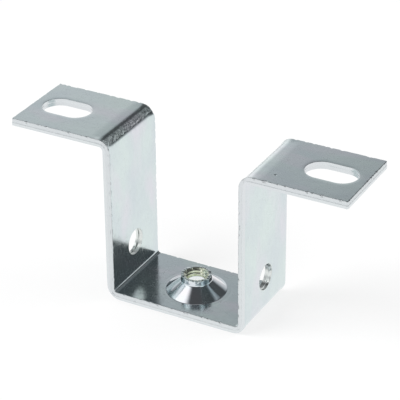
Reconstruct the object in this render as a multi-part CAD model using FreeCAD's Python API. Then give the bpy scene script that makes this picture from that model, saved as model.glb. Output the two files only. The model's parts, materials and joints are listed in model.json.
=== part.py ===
import FreeCAD, Part

import math
import os

from FreeCAD import Vector

# DIN rail mounting bracket: one strip of sheet steel, punched, pressed and folded four times.
# The origin is the middle of the rail seat, the flat underside of the web. +X runs along the
# strip, +Y across it, and +Z from the rail seat towards the two flanges. Millimetres.
# Bending thins the sheet, so a bend's outside is rounder than its inside radius plus the sheet.

# Strip
strip_width = 25.0
sheet = 2.2
overall_length = 100.5
overall_height = 49.0
web_width = 43.0
bend_radius = 1.0
outer_bend_radius = 3.9
corner_radius = 0.5
die_roll = 0.25

# Flange slots
slot_length = 14.8
slot_width = 9.2
slot_from_end = 10.25

# Leg holes
leg_hole_diameter = 7.5
leg_hole_height = 12.1

# Cone pressed up from the web
cone_foot_diameter = 17.0
cone_height = 3.25
cone_foot_rounding = 0.6
pressed_wall = 1.9
recess_mouth_rounding = 1.2

# Collar on top of the cone, bored for an M6 thread
collar_rim_diameter = 8.5
collar_height = 1.65
collar_taper = 0.12
collar_foot_rounding = 0.45
rim_wall = 0.85
rim_rounding = 0.15
thread_bore = 5.0
mouth_depth = 0.7
bore_entry_rounding = 0.4

# Worked out from the sizes above
half_strip = strip_width / 2
half_length = overall_length / 2
half_web = web_width / 2
leg_inner_x = half_web - sheet
flange_underside = overall_height - sheet
slot_centre_x = half_length - slot_from_end
cone_foot = cone_foot_diameter / 2
collar_rim = collar_rim_diameter / 2
collar_foot = collar_rim + collar_taper
cone_slope = cone_height / (cone_foot - collar_foot)
boss_disc = cone_foot + sheet / 2
cut_margin = 1.0
tolerance = 1e-4


def rounded_path(corners, closed):
    """Edges in the XZ plane through (x, z, rounding) corners, with a tangent arc at each rounding."""
    points = [Vector(x, 0, z) for x, z, rounding in corners]
    count = len(points)
    stretches = []
    for index in range(count):
        rounding = corners[index][2]
        if rounding > 0:
            stretches.append(corner_arc(points[index - 1], points[index], points[(index + 1) % count], rounding))
        else:
            stretches.append((points[index], points[index], None))
    edges = []
    for index in range(count):
        start, end, arc = stretches[index]
        if arc is not None:
            edges.append(arc.toShape())
        if closed or index < count - 1:
            next_start = stretches[(index + 1) % count][0]
            edges.append(Part.LineSegment(end, next_start).toShape())
    return Part.Wire(edges)


def corner_arc(before, corner, after, rounding):
    """Start, end and arc of the fillet at one corner."""
    back = (before - corner).normalize()
    forward = (after - corner).normalize()
    half_angle = back.getAngle(forward) / 2
    reach = rounding / math.tan(half_angle)
    start = corner + back * reach
    end = corner + forward * reach
    bisector = (back + forward).normalize()
    middle = corner + bisector * (rounding / math.sin(half_angle) - rounding)
    return start, end, Part.Arc(start, middle, end)


def mirrored(corners):
    """The same corners on the other side of the bracket, in the reverse order."""
    return [(-x, z, rounding) for x, z, rounding in reversed(corners)]


def punched_face_corners():
    """Side view of the face the punches enter: top of the flanges, inside of the legs, top of the web."""
    right = [
        (leg_inner_x, sheet, bend_radius),
        (leg_inner_x, overall_height, outer_bend_radius),
        (half_length, overall_height, 0),
    ]
    return mirrored(right) + right


def die_face_corners():
    """Side view of the other face, from the right free end back to the left one."""
    right = [
        (half_length, flange_underside, 0),
        (half_web, flange_underside, bend_radius),
        (half_web, 0, outer_bend_radius),
    ]
    return right + mirrored(right)


def across_strip(profile):
    """Pushes a side view through the width of the strip."""
    profile.translate(Vector(0, -half_strip, 0))
    return profile.extrude(Vector(0, strip_width, 0))


def folded_strip():
    """The strip with its four bends and the rounded corners of its free ends."""
    outline = rounded_path(punched_face_corners() + die_face_corners(), closed=True)
    strip = across_strip(Part.Face(outline))
    free_corners = [
        edge
        for edge in strip.Edges
        if abs(abs(edge.CenterOfMass.x) - half_length) < tolerance and edge.Length < sheet + tolerance
    ]
    return strip.makeFillet(corner_radius, free_corners)


def flange_slot(centre_x):
    """Cutter for one round-ended slot that runs along the strip."""
    radius = slot_width / 2
    straight = slot_length / 2 - radius
    depth = sheet + 2 * cut_margin
    base = flange_underside - cut_margin
    near_end = Part.makeCylinder(radius, depth, Vector(centre_x - straight, 0, base))
    far_end = Part.makeCylinder(radius, depth, Vector(centre_x + straight, 0, base))
    middle = Part.makeBox(2 * straight, slot_width, depth, Vector(centre_x - straight, -radius, base))
    return near_end.fuse([middle, far_end]).removeSplitter()


def leg_holes():
    """Cutter for the round hole in each leg, both on one axis."""
    length = web_width + 2 * cut_margin
    start = Vector(-length / 2, 0, leg_hole_height)
    return Part.makeCylinder(leg_hole_diameter / 2, length, start, Vector(1, 0, 0))


def roll_punched_edges(strip):
    """Rounds every edge where a punch pulled the sheet's face down: the outline, slots and leg holes."""
    punched_face = across_strip(rounded_path(punched_face_corners(), closed=False))
    rims = []
    for edge in strip.Edges:
        span = edge.LastParameter - edge.FirstParameter
        samples = [Part.Vertex(edge.valueAt(edge.FirstParameter + span * share)) for share in (0.2, 0.5, 0.8)]
        if all(punched_face.distToShape(sample)[0] < tolerance for sample in samples):
            rims.append(edge)
    outline_and_holes = [edge for edge in rims if not is_bend_line(edge)]
    return strip.makeFillet(die_roll, outline_and_holes)


def is_bend_line(edge):
    """True for the lines across the strip where a bend meets a flat."""
    runs_across = abs(edge.CenterOfMass.y) < tolerance and abs(edge.Length - strip_width) < tolerance
    return runs_across and abs(edge.CenterOfMass.x) < half_length - tolerance


def boss_section():
    """Half section of the pressed boss and of the disc of web that carries it."""
    bore = thread_bore / 2
    shoulder_height = sheet + cone_height
    rim_height = shoulder_height + collar_height
    wall_across = pressed_wall * math.hypot(1, cone_slope) / cone_slope
    recess_mouth = cone_foot + sheet / cone_slope - wall_across
    bore_start = (recess_mouth - bore) * cone_slope
    return [
        (boss_disc, 0, 0),
        (boss_disc, sheet, 0),
        (cone_foot, sheet, cone_foot_rounding),
        (collar_foot, shoulder_height, collar_foot_rounding),
        (collar_rim, rim_height, rim_rounding),
        (collar_rim - rim_wall, rim_height, 0),
        (bore, rim_height - mouth_depth, 0),
        (bore, bore_start, bore_entry_rounding),
        (recess_mouth, 0, recess_mouth_rounding),
    ]


def press_boss(strip):
    """Turns the middle of the web into the cone and collar, with the matching recess under them."""
    section = Part.Face(rounded_path(boss_section(), closed=True))
    boss = section.revolve(Vector(0, 0, 0), Vector(0, 0, 1), 360)
    disc = Part.makeCylinder(boss_disc, sheet + 2 * cut_margin, Vector(0, 0, -cut_margin))
    return strip.cut(disc).fuse(boss).removeSplitter()


def bracket():
    blank = folded_strip()
    cutters = [flange_slot(-slot_centre_x), flange_slot(slot_centre_x), leg_holes()]
    punched = roll_punched_edges(blank.cut(cutters))
    return press_boss(punched)


os.makedirs("parts", exist_ok=True)
shape = bracket()
print("valid", shape.isValid(), "solids", len(shape.Solids), "volume", round(shape.Volume, 1))
shape.exportStep("parts/bracket.step")
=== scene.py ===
import json
import math

import bmesh
import bpy
from mathutils import Matrix, Vector, noise
from mathutils.geometry import delaunay_2d_cdt


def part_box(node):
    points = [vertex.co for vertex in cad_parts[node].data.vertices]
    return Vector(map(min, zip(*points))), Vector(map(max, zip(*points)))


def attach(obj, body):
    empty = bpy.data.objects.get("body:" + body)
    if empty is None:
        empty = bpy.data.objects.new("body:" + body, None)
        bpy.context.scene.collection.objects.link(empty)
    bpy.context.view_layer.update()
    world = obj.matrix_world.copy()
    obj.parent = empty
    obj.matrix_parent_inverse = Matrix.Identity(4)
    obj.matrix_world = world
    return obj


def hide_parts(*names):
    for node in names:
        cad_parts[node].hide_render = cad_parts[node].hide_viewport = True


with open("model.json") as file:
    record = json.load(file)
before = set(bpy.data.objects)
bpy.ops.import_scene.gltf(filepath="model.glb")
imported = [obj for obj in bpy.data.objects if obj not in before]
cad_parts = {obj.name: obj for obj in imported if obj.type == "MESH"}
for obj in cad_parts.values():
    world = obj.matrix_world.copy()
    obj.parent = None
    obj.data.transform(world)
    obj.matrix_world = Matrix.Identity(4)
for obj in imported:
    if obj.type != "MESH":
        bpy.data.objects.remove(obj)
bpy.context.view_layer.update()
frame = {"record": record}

# Sizes in metres. The overall sizes, slots, holes and thread are read from the frame.
MM = 0.001
NODE = "bracket"
box_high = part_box(NODE)[1]
mounts = {mount["name"]: mount for mount in frame["record"]["mounts"]}
HALF_LENGTH = box_high.x
HALF_STRIP = box_high.y
HEIGHT = box_high.z
SHEET = 2.2 * MM
WEB_WIDTH = 43.0 * MM
BEND_RADIUS = 1.0 * MM
OUTER_BEND = 3.9 * MM
CORNER_RADIUS = 0.5 * MM

SLOT_CENTRE = mounts["flange_slots"]["dims"]["spacing_x_mm"] / 2 * MM
SLOT_LENGTH = mounts["flange_slots"]["dims"]["slot_length_mm"] * MM
SLOT_RADIUS = mounts["flange_slots"]["dims"]["hole_r_mm"] * MM
LEG_HOLE_RADIUS = mounts["leg_holes"]["dims"]["r_mm"] * MM
LEG_HOLE_HEIGHT = mounts["leg_holes"]["pos_m"][2]

BOSS_DISC = 11.2 * MM
CONE_FOOT = 8.5 * MM
CONE_HEIGHT = 3.25 * MM
COLLAR_FOOT = 4.37 * MM
COLLAR_RIM = 4.25 * MM
COLLAR_HEIGHT = 1.65 * MM
PRESSED_WALL = 1.9 * MM
RIM_WALL = 0.85 * MM
MOUTH_DEPTH = 0.7 * MM
CREST_LOSS = 0.12 * MM
BORE = mounts["rail_screw_thread"]["dims"]["r_mm"] * MM + CREST_LOSS
THREAD_PITCH = 1.0 * MM
THREAD_DEPTH = 0.42 * MM
RING_RADIUS = 9.7 * MM
RING_HALF_WIDTH = 0.55 * MM
RING_DEPTH = 0.010 * MM
PIT_X = 27.8 * MM
PIT_Y = -8.1 * MM
PIT_RADIUS = 0.42 * MM
PIT_DEPTH = 0.16 * MM
NICK_X = -12.6 * MM

# Worked out from the sizes above
CORNER_REACH = BEND_RADIUS + SHEET
NEUTRAL_BEND = BEND_RADIUS + SHEET / 2
BEND_RUN = NEUTRAL_BEND * math.pi / 2
WEB_END = WEB_WIDTH / 2 - CORNER_REACH
LEG_START = WEB_END + BEND_RUN
LEG_END = LEG_START + HEIGHT - 2 * CORNER_REACH
FLANGE_START = LEG_END + BEND_RUN
FLANGE_X = WEB_WIDTH / 2 + BEND_RADIUS
HALF_BLANK = FLANGE_START + HALF_LENGTH - FLANGE_X
MID_LEG = (LEG_START + LEG_END) / 2
SLOT_U = FLANGE_START + SLOT_CENTRE - FLANGE_X
LEG_HOLE_U = LEG_START + LEG_HOLE_HEIGHT - CORNER_REACH
PIT_PLACE = Vector((FLANGE_START + PIT_X - FLANGE_X, PIT_Y))

# What bending does to the stretched side of the sheet
BEND_EASE = 3.4 * MM
THINNING = 0.20 * MM
NARROWING = 0.13 * MM

# Mesh fineness
GRID = 0.80 * MM
EDGE_GRID = 0.25 * MM
BEND_STEPS = 13
CORNER_STEPS = 6
HOLE_STEPS = 112
SLOT_END_STEPS = 48
BOSS_STEPS = 216
JOINING_DISTANCE = 0.0006 * MM
BOSS_GRID = 0.22 * MM
THREAD_GRID = 0.05 * MM
CLEAR_OF_RIM = 0.4 * MM

# Section of a punched edge, from the punched face to the other one, as (inset, depth): the face is
# drawn down into a roll, then a burnished band, then the torn band. burr_section gives its end.
TORN_INSET = 0.065 * MM
CUT_SECTION = [
    (1.30 * MM, 0.0),
    (0.95 * MM, 0.006 * MM),
    (0.65 * MM, 0.020 * MM),
    (0.40 * MM, 0.043 * MM),
    (0.18 * MM, 0.075 * MM),
    (0.04 * MM, 0.098 * MM),
    (0.0, 0.13 * MM),
    (0.0, 0.18 * MM),
    (0.0, 0.60 * MM),
    (0.0, 0.98 * MM),
    (0.055 * MM, 1.05 * MM),
    (0.075 * MM, 1.20 * MM),
    (0.080 * MM, 1.40 * MM),
    (0.075 * MM, 1.60 * MM),
    (TORN_INSET, 1.78 * MM),
]
# Which levels of that section are rolled, burnished and torn, and which stand back where worn
ROLLED_LEVELS = range(0, 7)
BURNISHED_LEVELS = range(5, 10)
TORN_LEVELS = range(10, 18)
WORN_LEVELS = range(10, 20)
# How far each level of the burr leans in and drops for a unit of extra width
BURR_GROWTH = {15: (0.0, 1.15), 16: (0.0, 1.0), 17: (0.80, 0.05), 18: (1.15, 0.0), 19: (1.35, 0.0)}
# The burr of the blank's outline, the finer one of its openings, and how ragged and rolled those are
BLANK_BURR = 0.11 * MM
WIDEST_BURR = 0.40 * MM
HOLE_BURR = 0.01 * MM
HOLE_RAGGED = 0.3
SLOT_ROLL = 0.35
LEAST_TORN = 0.4
# Inset between the two loops that show which way is inward
LEAN_STEP = 0.1 * MM

# Stretches of the boss section, each named by the number of the corner that it starts from
CONE_STRETCHES = (1, 2)
RIM_STRETCH = 3
BORE_STRETCHES = (4, 5)
BORE_START = 6


def eased(value, start, end):
    """0 before start, 1 after end, and smooth between them; start may be the larger."""
    place = max(0.0, min(1.0, (value - start) / (end - start)))
    return place * place * (3 - 2 * place)


def ripple(u, v, depth, size, seed):
    """Smooth noise from -1 to 1 whose bumps are about as wide as size."""
    return noise.noise(Vector((u, v, depth)) / size + Vector((seed, 2 * seed, 3 * seed)))


def bend_stretch(u, depth):
    """How far a bend stretches the sheet there: 0 on the flats and inside a bend, 1 outside it."""
    run = abs(u)
    start = WEB_END if run < MID_LEG else LEG_END
    in_bend = eased(run, start - BEND_EASE, start + BEND_RUN / 2)
    in_bend *= eased(run, start + BEND_RUN + BEND_EASE, start + BEND_RUN / 2)
    return in_bend * (depth / SHEET if run < MID_LEG else 1 - depth / SHEET)


def arc_in_corner(radius, angle):
    """Point of a bend's outside arc, as its distances from the far and the near outside face."""
    return Vector((radius * (1 - math.sin(angle)), radius * (1 - math.cos(angle))))


def outside_shift(into_bend):
    """Step from a bend of even thickness to the real, rounder outside, at a place along the bend."""
    early = OUTER_BEND - CORNER_REACH
    if into_bend <= -early or into_bend >= BEND_RUN + early:
        return Vector((0, 0))
    if into_bend < 0:
        even = Vector((CORNER_REACH - into_bend, 0))
    elif into_bend > BEND_RUN:
        even = Vector((0, CORNER_REACH + into_bend - BEND_RUN))
    else:
        even = arc_in_corner(CORNER_REACH, into_bend / NEUTRAL_BEND)
    turn = math.pi / 2 * (into_bend + early) / (BEND_RUN + 2 * early)
    return arc_in_corner(OUTER_BEND, turn) - even


def tool_wear(u, depth):
    """How rough stretching left the sheet: a band outside each bend, a little away from the leg."""
    run = abs(u)
    past_leg = (LEG_START - run if run < MID_LEG else run - LEG_END) / BEND_RUN
    grazed = eased(past_leg, 0.32, 0.40) * eased(past_leg, 0.90, 0.76)
    outside = depth > SHEET / 2 if run < MID_LEG else depth < SHEET / 2
    return grazed * outside


def pit_depth(u, v):
    """Depth of the small pit in the punched face of the right flange."""
    away = (Vector((u, v)) - PIT_PLACE).length
    uneven = 1 + 0.25 * ripple(u, v, 0, 0.25 * MM, 5)
    return PIT_DEPTH * eased(away * uneven, PIT_RADIUS, 0.05 * MM)


def on_bracket(u, v, depth):
    """Where a point of the blank lies once folded: u along, v across, depth from the punched face."""
    side = 1 if u >= 0 else -1
    run = abs(u)
    low_bend = run < MID_LEG
    stretch = bend_stretch(u, depth)
    near_edge = eased(abs(v), HALF_STRIP - 1.8 * MM, HALF_STRIP)
    v -= math.copysign(NARROWING * stretch * near_edge, v)
    shift = outside_shift(run - (WEB_END if low_bend else LEG_END))
    shift *= depth / SHEET if low_bend else 1 - depth / SHEET
    depth += THINNING * stretch * (1 - near_edge) * (-1 if low_bend else 1)
    if run <= WEB_END:
        x, z = run, SHEET - depth
    elif run < LEG_START:
        angle = (run - WEB_END) / NEUTRAL_BEND
        radius = BEND_RADIUS + depth
        x = WEB_END + radius * math.sin(angle)
        z = CORNER_REACH - radius * math.cos(angle)
    elif run <= LEG_END:
        x = WEB_END + BEND_RADIUS + depth
        z = CORNER_REACH + run - LEG_START
    elif run < FLANGE_START:
        angle = (run - LEG_END) / NEUTRAL_BEND
        radius = CORNER_REACH - depth
        x = FLANGE_X - radius * math.cos(angle)
        z = HEIGHT - CORNER_REACH + radius * math.sin(angle)
    else:
        x = FLANGE_X + run - FLANGE_START
        z = HEIGHT - depth
    if low_bend:
        return Vector((side * (x - shift.x), v, z + shift.y))
    return Vector((side * (x + shift.y), v, z - shift.x))


class SheetMesh:
    """Collects vertices and faces, with each vertex's place on the blank and how its skin was made."""

    def __init__(self):
        self.points = []
        self.flat = []
        self.cut = []
        self.formed = []
        self.faces = []

    def add(self, point, flat, cut=(0.0, 0.0, 0.0), formed=(0.0, 0.0, 0.0)):
        """cut is (burnished, torn, passivated), formed is (grazed, pressed, rim)."""
        self.points.append(point)
        self.flat.append(flat)
        self.cut.append(cut)
        self.formed.append(formed)
        return len(self.points) - 1

    def add_flat(self, u, v, depth, cut=(0.0, 0.0, 0.0)):
        """A vertex of the sheet, put where folding takes it."""
        return self.add(on_bracket(u, v, depth), (u, v, depth), cut, (tool_wear(u, depth), 0.0, 0.0))

    def join(self, loop, other):
        """Quads between two loops of as many vertices."""
        count = len(loop)
        for index in range(count):
            after = (index + 1) % count
            self.faces.append((loop[index], loop[after], other[after], other[index]))


def spread(start, end, step):
    """Evenly spaced values from start up to, but without, end."""
    count = max(1, round((end - start) / step))
    return [start + (end - start) * index / count for index in range(count)]


def along_values(step):
    """Places along the blank where the mesh has a row: fine in the bends, even on the flats."""
    bend_step = BEND_RUN / BEND_STEPS
    values = spread(0, WEB_END - BEND_EASE, step)
    values += spread(WEB_END - BEND_EASE, LEG_START + BEND_EASE, bend_step)
    values += spread(LEG_START + BEND_EASE, LEG_END - BEND_EASE, step)
    values += spread(LEG_END - BEND_EASE, FLANGE_START + BEND_EASE, bend_step)
    values += spread(FLANGE_START + BEND_EASE, HALF_BLANK - CORNER_RADIUS, step)
    values.append(HALF_BLANK - CORNER_RADIUS)
    return [-value for value in reversed(values[1:])] + values


def across_values(step):
    """Places across the blank where the mesh has a row."""
    edge = HALF_STRIP - CORNER_RADIUS
    return spread(-edge, edge, step) + [edge]


def arc(centre, radius, start, end, steps):
    """Points of an arc on the blank, without its end point."""
    points = []
    for index in range(steps):
        angle = start + (end - start) * index / steps
        points.append((centre[0] + radius * math.cos(angle), centre[1] + radius * math.sin(angle)))
    return points


def outline_loop(inset):
    """The blank's outline, moved into the material by the inset."""
    radius = max(CORNER_RADIUS - inset, 0.05 * MM)
    end_u = HALF_BLANK - inset - radius
    end_v = HALF_STRIP - inset - radius
    quarter = math.pi / 2
    along = [max(-end_u, min(end_u, u)) for u in along_values(EDGE_GRID)]
    across = [max(-end_v, min(end_v, v)) for v in across_values(EDGE_GRID)]
    loop = [(u, -end_v - radius) for u in along[:-1]]
    loop += arc((end_u, -end_v), radius, -quarter, 0, CORNER_STEPS)
    loop += [(end_u + radius, v) for v in across[:-1]]
    loop += arc((end_u, end_v), radius, 0, quarter, CORNER_STEPS)
    loop += [(u, end_v + radius) for u in reversed(along[1:])]
    loop += arc((-end_u, end_v), radius, quarter, 2 * quarter, CORNER_STEPS)
    loop += [(-end_u - radius, v) for v in reversed(across[1:])]
    loop += arc((-end_u, -end_v), radius, 2 * quarter, 3 * quarter, CORNER_STEPS)
    return loop


def leg_hole_loop(centre_u, inset):
    return arc((centre_u, 0), LEG_HOLE_RADIUS + inset, 0, 2 * math.pi, HOLE_STEPS)


def slot_loop(centre_u, inset):
    """A slot's outline, moved into the material around it by the inset."""
    straight = SLOT_LENGTH / 2 - SLOT_RADIUS
    radius = SLOT_RADIUS + inset
    half = math.pi / 2
    runs = spread(-straight, straight, GRID)
    loop = arc((centre_u + straight, 0), radius, -half, half, SLOT_END_STEPS)
    loop += [(centre_u - run, radius) for run in runs]
    loop += arc((centre_u - straight, 0), radius, half, 3 * half, SLOT_END_STEPS)
    loop += [(centre_u + run, -radius) for run in runs]
    return loop


def burr_section(burr):
    """The end of a punched edge's section, where a bevelled burr of that width meets the other face."""
    return [
        (TORN_INSET, SHEET - 1.6 * burr),
        (TORN_INSET, SHEET - burr),
        (TORN_INSET + 0.80 * burr, SHEET - 0.05 * burr),
        (TORN_INSET + 1.15 * burr, SHEET),
        (TORN_INSET + 1.90 * burr, SHEET),
        (0.60 * MM + 2 * burr, SHEET),
    ]


def edge_wear(u, v, depth, level):
    """How far an edge's skin stands back there: drag and tear marks, and the nick of the web."""
    wear = 0.0
    if level in BURNISHED_LEVELS:
        wear += 0.005 * MM * (1 + ripple(u, v, depth * 0.15, 0.30 * MM, 1))
    if level in WORN_LEVELS:
        wear += 0.030 * MM * (1 + ripple(u, v, depth * 0.5, 0.42 * MM, 2))
        wear += 0.015 * MM * (1 + ripple(u, v, depth, 0.25 * MM, 3))
    nick = max(0.0, 1 - abs(u - NICK_X) / (0.45 * MM)) * (abs(v) > HALF_STRIP - MM)
    return wear + 0.18 * MM * nick * eased(level, 7, 12)


def burr_growth(u, v, burr):
    """How much wider than usual the burr is there."""
    teeth = max(0.0, ripple(u, v, 0, 0.85 * MM, 4) - 0.12)
    growth = 9.0 * teeth + 1.6 * abs(ripple(u, v, 0, 0.40 * MM, 6))
    return min(growth * burr, WIDEST_BURR - burr)


def edge_skin(level, ragged):
    """How burnished and how torn an edge is at a level; the less ragged it is, the less torn."""
    if level in BURNISHED_LEVELS:
        return 1.0, 0.0
    if level in TORN_LEVELS:
        return 1 - ragged, max(ragged, LEAST_TORN)
    return 0.0, 0.0


def cut_edge(mesh, loop_at, from_other_face, burr, ragged, roll=1.0, passivated=0.0):
    """Punched edge from face to face. Returns its loops on the punched face and on the other."""
    loops = []
    for level, (inset, depth) in enumerate(CUT_SECTION + burr_section(burr)):
        if level in ROLLED_LEVELS:
            depth *= roll
        skin = edge_skin(level, ragged)
        on_wall = passivated if any(skin) else 0.0
        lean, drop = BURR_GROWTH.get(level, (0.0, 0.0))
        loop = []
        for (u, v), (inner_u, inner_v) in zip(loop_at(inset), loop_at(inset + LEAN_STEP)):
            growth = ragged * burr_growth(u, v, burr)
            share = (ragged * edge_wear(u, v, depth, level) + lean * growth) / LEAN_STEP
            place = (u + (inner_u - u) * share, v + (inner_v - v) * share)
            in_sheet = depth - drop * growth
            if from_other_face:
                in_sheet = SHEET - in_sheet
            loop.append(mesh.add_flat(place[0], place[1], in_sheet, (*skin, on_wall)))
        if loops:
            mesh.join(loops[-1], loop)
        loops.append(loop)
    if from_other_face:
        loops.reverse()
    return loops[0], loops[-1]


def rounded_profile(corners, step):
    """Points (radius, height, stretch) along a section with a rounding at each corner."""
    places = [Vector((radius, height)) for radius, height, rounding in corners]
    cuts = []
    for index, (radius, height, rounding) in enumerate(corners):
        corner = places[index]
        if rounding == 0:
            cuts.append((corner, corner, None, 0))
            continue
        back = (places[index - 1] - corner).normalized()
        forward = (places[index + 1] - corner).normalized()
        half_angle = back.angle(forward) / 2
        reach = rounding / math.tan(half_angle)
        centre = corner + (back + forward).normalized() * rounding / math.sin(half_angle)
        cuts.append((corner + back * reach, corner + forward * reach, centre, rounding))
    points = []
    for index, (start, end, centre, rounding) in enumerate(cuts):
        if centre is not None:
            first = start - centre
            turn = first.angle_signed(end - centre)
            steps = max(4, round(abs(turn) * rounding / step))
            for count in range(steps):
                angle = math.atan2(first.y, first.x) - turn * count / steps
                place = centre + Vector((math.cos(angle), math.sin(angle))) * rounding
                points.append((place.x, place.y, index))
        if index + 1 < len(cuts):
            next_start = cuts[index + 1][0]
            run = (next_start - end).length
            fine = THREAD_GRID if index in BORE_STRETCHES else step
            steps = max(1, round(run / fine))
            for count in range(steps):
                place = end.lerp(next_start, count / steps)
                points.append((place.x, place.y, index))
    points.append((corners[-1][0], corners[-1][1], len(corners) - 1))
    return points


def boss_corners():
    """Half section of the boss, from the top of the web over the collar to the web's underside."""
    slope = CONE_HEIGHT / (CONE_FOOT - COLLAR_FOOT)
    shoulder = SHEET + CONE_HEIGHT
    rim = shoulder + COLLAR_HEIGHT
    recess_mouth = CONE_FOOT + SHEET / slope - PRESSED_WALL * math.hypot(1, slope) / slope
    bore_start = (recess_mouth - BORE) * slope
    return [
        (BOSS_DISC, SHEET, 0),
        (CONE_FOOT, SHEET, 0.32 * MM),
        (COLLAR_FOOT, shoulder, 0.45 * MM),
        (COLLAR_RIM, rim, 0.15 * MM),
        (COLLAR_RIM - RIM_WALL, rim, 0),
        (BORE, rim - MOUTH_DEPTH, 0),
        (BORE, bore_start, 0.4 * MM),
        (recess_mouth, 0, 1.2 * MM),
        (BOSS_DISC, 0, 0),
    ]


def thread_radius(angle, height):
    """Radius of the tapped wall: a single-start V groove with flats at crest and root."""
    turn = height / THREAD_PITCH - angle / (2 * math.pi)
    from_root = abs(turn - math.floor(turn) - 0.5) * 2
    groove = max(0.0, min(1.0, (0.86 - from_root) / 0.70))
    return BORE + THREAD_DEPTH * groove


def rim_wear(angle, height):
    """How far the torn rim of the collar stands below its full height, and in from its circle."""
    rim = SHEET + CONE_HEIGHT + COLLAR_HEIGHT
    near = eased(height, rim - 0.60 * MM, rim - 0.10 * MM)
    around = Vector((math.cos(angle), math.sin(angle), 0.0))
    wave = 0.5 + 0.5 * noise.noise(around * 1.4 + Vector((4.0, 0.0, 0.0)))
    chip = max(0.0, noise.noise(around * 5.5 + Vector((0.0, 9.0, 1.0))) - 0.12)
    crumb = max(0.0, noise.noise(around * 13.0 + Vector((7.0, 0.0, 2.0))))
    drop = 0.05 * MM * wave + 0.55 * MM * chip + 0.16 * MM * crumb
    lean = 0.12 * MM * noise.noise(around * 5.0 + Vector((0.0, 3.0, 8.0)))
    return near * min(drop, 0.36 * MM), near * lean


def ring_sink(radius, height):
    """Depth of the ring that the press tool left round the boss."""
    if height < SHEET / 2:
        return 0.0
    away = abs(radius - RING_RADIUS) / RING_HALF_WIDTH
    return RING_DEPTH * eased(away, 1, 0)


def press_boss(mesh):
    """Cone, collar, thread and recess. Returns its loops on the punched face and on the other."""
    corners = boss_corners()
    bore_start = corners[BORE_START][1]
    loops = []
    for radius, height, stretch in rounded_profile(corners, BOSS_GRID):
        loop = []
        height -= ring_sink(radius, height)
        for step in range(BOSS_STEPS):
            angle = 2 * math.pi * step / BOSS_STEPS
            reach = radius
            if stretch in BORE_STRETCHES:
                fade = max(0.0, min(1.0, (height - bore_start - 0.25 * MM) / (0.2 * MM)))
                thread = BORE + (thread_radius(angle, height) - BORE) * fade
                reach = max(radius, thread)
            drop, lean = rim_wear(angle, height)
            low = height - drop
            reach += lean
            point = Vector((reach * math.cos(angle), reach * math.sin(angle), low))
            pressed = float(stretch in CONE_STRETCHES)
            rim = float(stretch == RIM_STRETCH)
            passivated = float(stretch in BORE_STRETCHES)
            flat = (point.x, point.y, SHEET - low)
            loop.append(mesh.add(point, flat, (0.0, 0.0, passivated), (0.0, pressed, rim)))
        if loops:
            mesh.join(loops[-1], loop)
        loops.append(loop)
    return loops[0], loops[-1]


def slot_distance(u, v):
    """How far a place on the blank lies from the nearer slot's edge; negative inside it."""
    straight = SLOT_LENGTH / 2 - SLOT_RADIUS
    over = max(0.0, abs(abs(u) - SLOT_U) - straight)
    return math.hypot(over, v) - SLOT_RADIUS


def hole_distance(u, v):
    return math.hypot(abs(u) - LEG_HOLE_U, v) - LEG_HOLE_RADIUS


def boss_distance(u, v):
    return math.hypot(u, v) - BOSS_DISC


def pit_places():
    """Extra mesh places in and round the pit."""
    places = [tuple(PIT_PLACE)]
    for ring in range(1, 8):
        radius = ring * 0.085 * MM
        places += arc(PIT_PLACE, radius, 0, 2 * math.pi, 6 + 4 * ring)
    return places


def inner_places():
    """Mesh places on the blank that lie clear of every edge."""
    rim = CUT_SECTION[0][0] + CLEAR_OF_RIM
    places = pit_places()
    for u in along_values(GRID):
        for v in across_values(GRID):
            inside = abs(u) < HALF_BLANK - rim and abs(v) < HALF_STRIP - rim
            clear = slot_distance(u, v) > rim and hole_distance(u, v) > rim
            off_pit = (Vector((u, v)) - PIT_PLACE).length > 0.85 * MM
            if inside and clear and off_pit and boss_distance(u, v) > CLEAR_OF_RIM:
                places.append((u, v))
    return places


def add_faces(mesh, edge_loops):
    """Fills the punched face and the other face between the loops of their edges."""
    inner = inner_places()
    for which in (0, 1):
        rims = [[mesh.flat[index][:2] for index in loops[which]] for loops in edge_loops]
        boundary = [place for rim in rims for place in rim]
        segments = []
        start = 0
        for rim in rims:
            count = len(rim)
            segments += [(start + index, start + (index + 1) % count) for index in range(count)]
            start += count
        flat_points = [Vector(place) for place in boundary + inner]
        result = delaunay_2d_cdt(flat_points, segments, [], 1, 1e-9)
        vertices = [index for loops in edge_loops for index in loops[which]]
        for u, v in inner:
            depth = pit_depth(u, v) if which == 0 else SHEET
            vertices.append(mesh.add_flat(u, v, depth))
        # The outline's loop is number 0 and so are the inner places. Every other loop is an opening
        # and is convex, so a face with all its corners on one of them lies inside that opening.
        owners = [number for number, rim in enumerate(rims) for place in rim] + [0] * len(inner)
        sources = [ids[0] for ids in result[3]]
        for face in result[2]:
            corners = [sources[corner] for corner in face]
            loops_met = {owners[corner] for corner in corners}
            if len(loops_met) > 1 or 0 in loops_met:
                mesh.faces.append(tuple(vertices[corner] for corner in corners))


def write_attribute(data, name, values):
    attribute = data.attributes.new(name, "FLOAT_VECTOR", "POINT")
    attribute.data.foreach_set("vector", [number for value in values for number in value])


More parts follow.
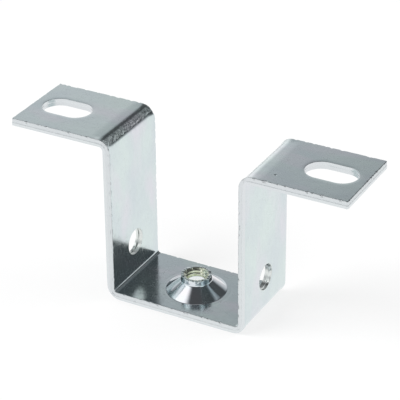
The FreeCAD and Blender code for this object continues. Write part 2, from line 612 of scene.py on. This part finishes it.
def make_bracket():
    mesh = SheetMesh()
    edge_loops = [cut_edge(mesh, outline_loop, True, BLANK_BURR, 1.0)]
    for side in (-1, 1):
        slot_at = lambda inset, centre=side * SLOT_U: slot_loop(centre, inset)
        hole_at = lambda inset, centre=side * LEG_HOLE_U: leg_hole_loop(centre, inset)
        edge_loops.append(cut_edge(mesh, slot_at, False, HOLE_BURR, HOLE_RAGGED, roll=SLOT_ROLL))
        edge_loops.append(cut_edge(mesh, hole_at, True, HOLE_BURR, HOLE_RAGGED, passivated=0.2))
    edge_loops.append(press_boss(mesh))
    add_faces(mesh, edge_loops)
    data = bpy.data.meshes.new("folded_strip")
    data.from_pydata(mesh.points, [], mesh.faces)
    write_attribute(data, "flat_place", mesh.flat)
    write_attribute(data, "cut_skin", mesh.cut)
    write_attribute(data, "formed_skin", mesh.formed)
    editable = bmesh.new()
    editable.from_mesh(data)
    bmesh.ops.remove_doubles(editable, verts=editable.verts, dist=JOINING_DISTANCE)
    bmesh.ops.recalc_face_normals(editable, faces=editable.faces)
    editable.to_mesh(data)
    editable.free()
    data.shade_smooth()
    piece = bpy.data.objects.new("folded_strip", data)
    bpy.context.scene.collection.objects.link(piece)
    return piece


class NodeSketch:
    """Short ways to add and link the nodes of a material."""

    def __init__(self, material):
        material.use_nodes = True
        self.tree = material.node_tree
        self.shader = self.tree.nodes["Principled BSDF"]

    def feed(self, socket, value):
        """Sets a socket to a value, or links it to another node's output."""
        if isinstance(value, bpy.types.NodeSocket):
            self.tree.links.new(value, socket)
        else:
            socket.default_value = value

    def math(self, operation, *values):
        node = self.tree.nodes.new("ShaderNodeMath")
        node.operation = operation
        for socket, value in zip(node.inputs, values):
            self.feed(socket, value)
        return node.outputs["Value"]

    def add(self, *values):
        total = values[0]
        for value in values[1:]:
            total = self.math("ADD", total, value)
        return total

    def attribute(self, name):
        node = self.tree.nodes.new("ShaderNodeAttribute")
        node.attribute_name = name
        return node.outputs["Vector"]

    def split(self, vector):
        node = self.tree.nodes.new("ShaderNodeSeparateXYZ")
        self.feed(node.inputs[0], vector)
        return node.outputs

    def noise(self, place, per_mm, detail, seed):
        """Noise with so many bumps per millimetre along, across and into the sheet."""
        scaled = self.tree.nodes.new("ShaderNodeVectorMath")
        scaled.operation = "MULTIPLY_ADD"
        self.feed(scaled.inputs[0], place)
        scaled.inputs[1].default_value = [value / MM for value in per_mm]
        scaled.inputs[2].default_value = (seed, 1.7 * seed, 2.3 * seed)
        node = self.tree.nodes.new("ShaderNodeTexNoise")
        node.inputs["Scale"].default_value = 1.0
        node.inputs["Detail"].default_value = detail
        self.feed(node.inputs["Vector"], scaled.outputs["Vector"])
        return node.outputs["Fac"]

    def spread(self, value, low, high, new_low=0.0, new_high=1.0):
        """Stretches a value from one range to another, and keeps it there."""
        node = self.tree.nodes.new("ShaderNodeMapRange")
        for socket, number in zip(node.inputs, (value, low, high, new_low, new_high)):
            self.feed(socket, number)
        return node.outputs["Result"]

    def blend(self, share, first, second):
        """Number between two numbers."""
        node = self.tree.nodes.new("ShaderNodeMix")
        self.feed(node.inputs["Factor"], share)
        self.feed(node.inputs["A"], first)
        self.feed(node.inputs["B"], second)
        return node.outputs["Result"]

    def tint(self, share, first, second):
        """Colour between two colours."""
        node = self.tree.nodes.new("ShaderNodeMix")
        node.data_type = "RGBA"
        colours = [socket for socket in node.inputs if socket.type == "RGBA"]
        self.feed(node.inputs["Factor"], share)
        self.feed(colours[0], first)
        self.feed(colours[1], second)
        return [socket for socket in node.outputs if socket.type == "RGBA"][0]


def plated_steel():
    """Cold rolled steel with a thin bright zinc coat and a pale passivation tint."""
    material = bpy.data.materials.new("zinc_plated_steel")
    sketch = NodeSketch(material)
    place = sketch.attribute("flat_place")
    cut = sketch.split(sketch.attribute("cut_skin"))
    formed = sketch.split(sketch.attribute("formed_skin"))
    burnished, torn, passivated = cut["X"], cut["Y"], cut["Z"]
    grazed, pressed, rim = formed["X"], formed["Y"], formed["Z"]

    waves = sketch.noise(place, (0.07, 0.11, 0.1), 1.0, 3.0)
    dimples = sketch.noise(place, (0.22, 0.30, 0.3), 2.0, 7.0)
    cloud = sketch.noise(place, (0.06, 0.10, 0.1), 3.0, 11.0)
    blush = sketch.noise(place, (0.05, 0.13, 0.12), 2.0, 23.0)
    mottle = sketch.noise(place, (0.7, 0.9, 0.9), 3.0, 31.0)
    grain = sketch.noise(place, (0.25, 5.5, 5.5), 3.0, 41.0)
    hairlines = sketch.spread(sketch.noise(place, (0.30, 5.0, 5.0), 2.0, 53.0), 0.62, 0.74)
    rubs = sketch.spread(sketch.noise(place, (2.4, 0.5, 2.4), 3.0, 57.0), 0.62, 0.78)
    unpressed = sketch.math("SUBTRACT", 1.0, pressed)
    scratches = sketch.math("MULTIPLY", sketch.math("MAXIMUM", hairlines, rubs), unpressed)
    peel = sketch.math("SUBTRACT", sketch.noise(place, (1.9, 2.2, 1.9), 2.0, 61.0), 0.5)
    tears = sketch.math("SUBTRACT", sketch.noise(place, (4.2, 4.2, 3.0), 3.0, 71.0), 0.5)
    drag = sketch.noise(place, (8.0, 8.0, 0.5), 2.0, 83.0)

    clouded = sketch.spread(cloud, 0.35, 0.65)
    plain = sketch.tint(clouded, (0.645, 0.715, 0.740, 1), (0.69, 0.78, 0.765, 1))
    plain = sketch.tint(sketch.spread(blush, 0.50, 0.72), plain, (0.725, 0.735, 0.780, 1))
    plain = sketch.tint(sketch.spread(mottle, 0.30, 0.70, 0.0, 0.10), plain, (0.55, 0.60, 0.62, 1))
    blushed = sketch.spread(blush, 0.35, 0.65)
    polished = sketch.tint(blushed, (0.70, 0.80, 0.84, 1), (0.80, 0.77, 0.80, 1))
    formed_skin = sketch.tint(pressed, plain, polished)
    on_edge = sketch.math("MULTIPLY", sketch.add(burnished, torn), 0.7)
    edges = sketch.tint(on_edge, formed_skin, (0.77, 0.79, 0.81, 1))
    film = sketch.tint(sketch.spread(mottle, 0.4, 0.6), (0.80, 0.84, 0.67, 1), (0.88, 0.90, 0.77, 1))
    sketch.feed(sketch.shader.inputs["Base Color"], sketch.tint(passivated, edges, film))

    rough = sketch.spread(mottle, 0.3, 0.7, 0.13, 0.21)
    rough = sketch.add(rough, sketch.math("MULTIPLY", scratches, 0.20))
    rough = sketch.blend(pressed, rough, 0.09)
    rough = sketch.blend(rim, rough, 0.20)
    rough = sketch.blend(grazed, rough, 0.12)
    rough = sketch.blend(burnished, rough, 0.22)
    rough = sketch.blend(torn, rough, 0.40)
    sketch.feed(sketch.shader.inputs["Roughness"], rough)

    relief = sketch.add(
        sketch.math("MULTIPLY", waves, 0.03),
        sketch.math("MULTIPLY", dimples, 0.012),
        sketch.math("MULTIPLY", mottle, 0.002),
        sketch.math("MULTIPLY", grain, 0.0003),
        sketch.math("MULTIPLY", scratches, -0.0006),
        sketch.math("MULTIPLY", sketch.math("MULTIPLY", peel, grazed), 0.36),
        sketch.math("MULTIPLY", sketch.math("MULTIPLY", tears, torn), 0.03),
        sketch.math("MULTIPLY", sketch.math("MULTIPLY", tears, rim), 0.03),
        sketch.math("MULTIPLY", sketch.math("MULTIPLY", drag, burnished), 0.005),
    )
    bump = sketch.tree.nodes.new("ShaderNodeBump")
    bump.inputs["Strength"].default_value = 1.0
    bump.inputs["Distance"].default_value = MM
    sketch.feed(bump.inputs["Height"], relief)
    sketch.feed(sketch.shader.inputs["Normal"], bump.outputs["Normal"])
    sketch.shader.inputs["Metallic"].default_value = 1.0
    return material


def set_camera():
    """Camera at the photograph's angle; the picture is taken to be 400 by 400."""
    picture = 400
    sensor = 36.0
    strip = 2 * HALF_STRIP
    azimuth = math.radians(28.311)
    elevation = math.radians(29.502)
    roll = math.radians(-0.293)
    distance = 18.903 * strip
    focal_px = 1823.5
    centre_px = (209.325, 207.983)
    target = Vector((0.503, -0.624, 1.562)) * strip
    back = Vector(
        (
            math.sin(azimuth) * math.cos(elevation),
            -math.cos(azimuth) * math.cos(elevation),
            math.sin(elevation),
        )
    )
    right = Vector((math.cos(azimuth), math.sin(azimuth), 0))
    up = back.cross(right)
    tilted_right = right * math.cos(roll) + up * math.sin(roll)
    tilted_up = up * math.cos(roll) - right * math.sin(roll)
    data = bpy.data.cameras.new("camera")
    data.sensor_width = sensor
    data.lens = focal_px / picture * sensor
    data.shift_x = (picture / 2 - centre_px[0]) / picture
    data.shift_y = (centre_px[1] - picture / 2) / picture
    data.clip_start = 0.01
    data.clip_end = 20
    camera = bpy.data.objects.new("camera", data)
    bpy.context.scene.collection.objects.link(camera)
    camera.rotation_mode = "QUATERNION"
    camera.location = target + back * distance
    camera.rotation_quaternion = Matrix((tilted_right, tilted_up, back)).transposed().to_quaternion()
    bpy.context.scene.camera = camera


def panel(azimuth, elevation, centre, half_size, soft, tilt=0.0):
    """How much of a panel is seen in a direction, in degrees; tilt is how steeply it rises sideways."""
    turn = (azimuth - centre[0] + 180) % 360 - 180
    rise = abs(elevation - centre[1] - tilt * turn)
    across = eased(abs(turn), half_size[0] + soft[0], half_size[0] - soft[0])
    return across * eased(rise, half_size[1] + soft[1], half_size[1] - soft[1])


# Azimuths, each with the elevation at which the white backdrop has faded out
BACKDROP_EDGE = [
    (-180, 30),
    (-150, 27),
    (-80, 23),
    (-45, 36),
    (-33, 36),
    (-22, 32),
    (-12, 25),
    (8, 17),
    (20, 13),
    (30, 10),
    (36, 12),
    (41, 11),
    (50, 5),
    (75, 4),
    (100, 18),
    (180, 30),
]

# Panels of the room: light, then centre, half size and soft border, each by azimuth and elevation
ROOM_PANELS = [
    (1.35, (103, 40), (14, 8), (4, 4)),
    (0.58, (-50.5, 46), (5, 8), (5, 3)),
    (0.20, (-29, 35.5), (7, 2), (5, 3)),
    (0.14, (-26, 60), (20, 10), (12, 8)),
    (0.75, (67, 11), (9, 8), (6, 4)),
    (0.20, (19, 40), (9, 6), (7, 3)),
    (0.30, (175, 30), (40, 8), (12, 8)),
]


def backdrop_edge(azimuth):
    """Elevation at which the white backdrop has faded out, at any azimuth."""
    for (start, low), (end, high) in zip(BACKDROP_EDGE, BACKDROP_EDGE[1:]):
        if azimuth <= end:
            return low + (high - low) * (azimuth - start) / (end - start)
    return BACKDROP_EDGE[-1][1]


def room_light(azimuth, elevation):
    """Colour of the studio in a direction: azimuth from +Y towards +X, elevation above the floor."""
    light = 0.08 + 0.97 * eased(elevation / backdrop_edge(azimuth), 1.45, 0.2)
    light *= 1 - 0.35 * panel(azimuth, elevation, (4, 5), (11, 12), (6, 6))
    softbox = panel(azimuth, elevation, (-117, 42), (32, 18), (17, 4), -0.35)
    light += 1.20 * softbox * eased(azimuth, -80, -96)
    for strength, centre, half_size, soft in ROOM_PANELS:
        light += strength * panel(azimuth, elevation, centre, half_size, soft)
    light += 0.38 * eased(elevation, 76, 84)
    light = min(light, 1.4)
    cool = eased(light, 1.0, 0.3)
    return (light * (1 - 0.05 * cool), light, light * (1 + 0.04 * cool))


def stage_dome():
    """The room around the table, which only the metal's reflections see."""
    radius = 3.0
    step = 1.5
    columns = round(360 / step)
    rows = round(90 / step)
    points = []
    colours = []
    for row in range(rows + 1):
        elevation = row * step
        for column in range(columns):
            azimuth = column * step - 180
            flat = radius * math.cos(math.radians(elevation))
            x = flat * math.sin(math.radians(azimuth))
            y = flat * math.cos(math.radians(azimuth))
            points.append((x, y, radius * math.sin(math.radians(elevation)) - 0.001))
            colours += [*room_light(azimuth, elevation), 1.0]
    faces = []
    for row in range(rows):
        for column in range(columns):
            after = (column + 1) % columns
            low = row * columns
            high = low + columns
            faces.append((low + column, low + after, high + after, high + column))
    data = bpy.data.meshes.new("room")
    data.from_pydata(points, [], faces)
    light = data.attributes.new("room_light", "FLOAT_COLOR", "POINT")
    light.data.foreach_set("color", colours)
    material = bpy.data.materials.new("room")
    material.use_nodes = True
    nodes = material.node_tree.nodes
    nodes.clear()
    reader = nodes.new("ShaderNodeAttribute")
    reader.attribute_name = "room_light"
    glow = nodes.new("ShaderNodeEmission")
    output = nodes.new("ShaderNodeOutputMaterial")
    material.node_tree.links.new(reader.outputs["Color"], glow.inputs["Color"])
    material.node_tree.links.new(glow.outputs["Emission"], output.inputs["Surface"])
    data.materials.append(material)
    room = bpy.data.objects.new("room", data)
    bpy.context.scene.collection.objects.link(room)
    room.visible_camera = False
    room.visible_diffuse = False
    room.visible_shadow = False


def background_share(tree, camera_share):
    """Node value: 1 for reflected and transmitted rays, camera_share for what the camera sees."""
    path = tree.nodes.new("ShaderNodeLightPath")
    seen = tree.nodes.new("ShaderNodeMath")
    seen.operation = "MULTIPLY_ADD"
    seen.inputs[1].default_value = camera_share
    total = tree.nodes.new("ShaderNodeMath")
    total.operation = "ADD"
    total.use_clamp = True
    tree.links.new(path.outputs["Is Camera Ray"], seen.inputs[0])
    tree.links.new(path.outputs["Is Glossy Ray"], seen.inputs[2])
    tree.links.new(seen.outputs["Value"], total.inputs[0])
    tree.links.new(path.outputs["Is Transmission Ray"], total.inputs[1])
    return total.outputs["Value"]


def stage_floor():
    """White table: it takes the object's soft shadow and shows white in the metal."""
    data = bpy.data.meshes.new("floor")
    reach = 6.0
    corners = [(-reach, -reach, 0), (reach, -reach, 0), (reach, reach, 0), (-reach, reach, 0)]
    data.from_pydata(corners, [], [(0, 1, 2, 3)])
    material = bpy.data.materials.new("floor")
    material.use_nodes = True
    tree = material.node_tree
    tree.nodes.clear()
    paper = tree.nodes.new("ShaderNodeBsdfDiffuse")
    paper.inputs["Color"].default_value = (0.94, 0.94, 0.94, 1)
    white = tree.nodes.new("ShaderNodeEmission")
    white.inputs["Color"].default_value = (1, 1, 1, 1)
    mix = tree.nodes.new("ShaderNodeMixShader")
    output = tree.nodes.new("ShaderNodeOutputMaterial")
    tree.links.new(background_share(tree, 0.7), mix.inputs[0])
    tree.links.new(paper.outputs["BSDF"], mix.inputs[1])
    tree.links.new(white.outputs["Emission"], mix.inputs[2])
    tree.links.new(mix.outputs["Shader"], output.inputs["Surface"])
    data.materials.append(material)
    floor = bpy.data.objects.new("floor", data)
    bpy.context.scene.collection.objects.link(floor)
    floor.location.z = -0.00002


def set_world():
    world = bpy.data.worlds.new("studio")
    bpy.context.scene.world = world
    world.use_nodes = True
    tree = world.node_tree
    background = tree.nodes["Background"]
    mix = tree.nodes.new("ShaderNodeMix")
    mix.data_type = "RGBA"
    mix.inputs["A"].default_value = (0.55, 0.55, 0.55, 1)
    mix.inputs["B"].default_value = (1, 1, 1, 1)
    tree.links.new(background_share(tree, 1.0), mix.inputs["Factor"])
    tree.links.new(mix.outputs["Result"], background.inputs["Color"])


def add_lamp(name, place, size, power):
    """Soft lamp over the table; the metal shows the room's panels in its stead."""
    data = bpy.data.lights.new(name, "AREA")
    data.shape = "SQUARE"
    data.size = size
    data.energy = power
    lamp = bpy.data.objects.new(name, data)
    bpy.context.scene.collection.objects.link(lamp)
    lamp.location = place
    lamp.rotation_mode = "QUATERNION"
    lamp.rotation_quaternion = Vector(place).to_track_quat("Z", "Y")
    lamp.visible_glossy = False


piece = make_bracket()
piece.data.materials.append(plated_steel())
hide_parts(NODE)
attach(piece, "root")

stage_floor()
stage_dome()
set_world()
add_lamp("key_lamp", (-0.55, -0.55, 0.9), 0.7, 9.0)
add_lamp("fill_lamp", (0.8, 0.5, 0.8), 0.9, 5.0)
set_camera()
bpy.context.scene.view_settings.view_transform = "Standard"
